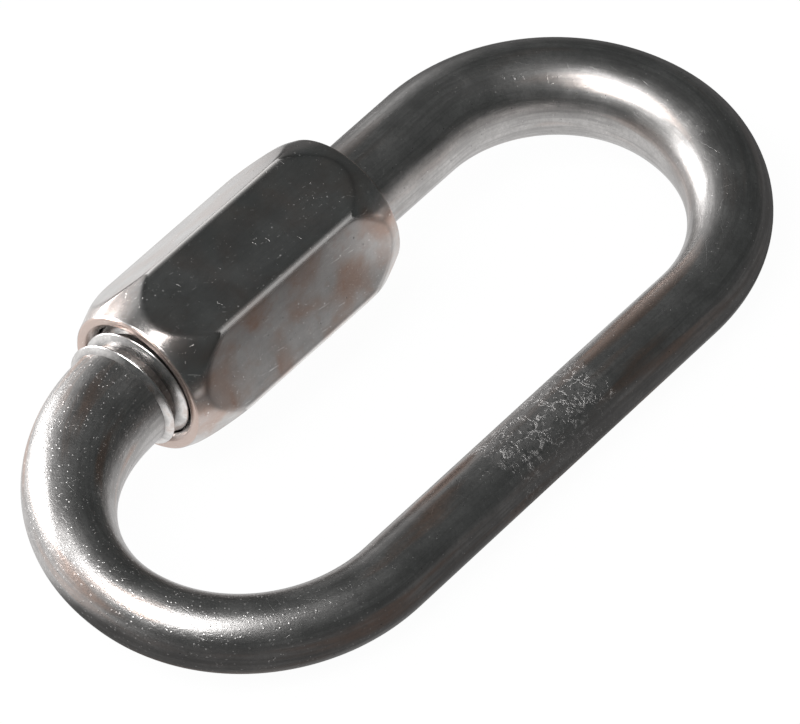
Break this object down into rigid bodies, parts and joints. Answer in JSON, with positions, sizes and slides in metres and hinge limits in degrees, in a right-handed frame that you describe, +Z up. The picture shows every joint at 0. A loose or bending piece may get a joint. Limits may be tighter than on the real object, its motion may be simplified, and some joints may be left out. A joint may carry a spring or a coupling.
{
  "type": "chain quick link",
  "caption": "Oval chain quick link of round steel bar, open on one long side and closed by a long hexagonal barrel nut that screws across the gap.",
  "frame": {"origin": "middle of the outline seen from above, on the surface the link lies on", "axes": "+X along the nut's axis towards the short threaded stub, +Y from the nut side to the plain side, +Z up from the surface the link lies on"},
  "size_m": [0.0432, 0.0222, 0.0089],
  "materials": {
    "dark_polished_steel": "worn polish with fine scratches and specks",
    "polished_nut_steel": "worn polish with fine scratches and specks"
  },
  "bodies": {
    "link": {"link_body": "dark_polished_steel"},
    "nut": {"sleeve_nut": "polished_nut_steel"}
  },
  "joints": [
    {"name": "nut_travel", "type": "slide", "parent": "link", "child": "nut", "axis": [-1, 0, 0], "range_m": [0, 0.008]}
  ]
}
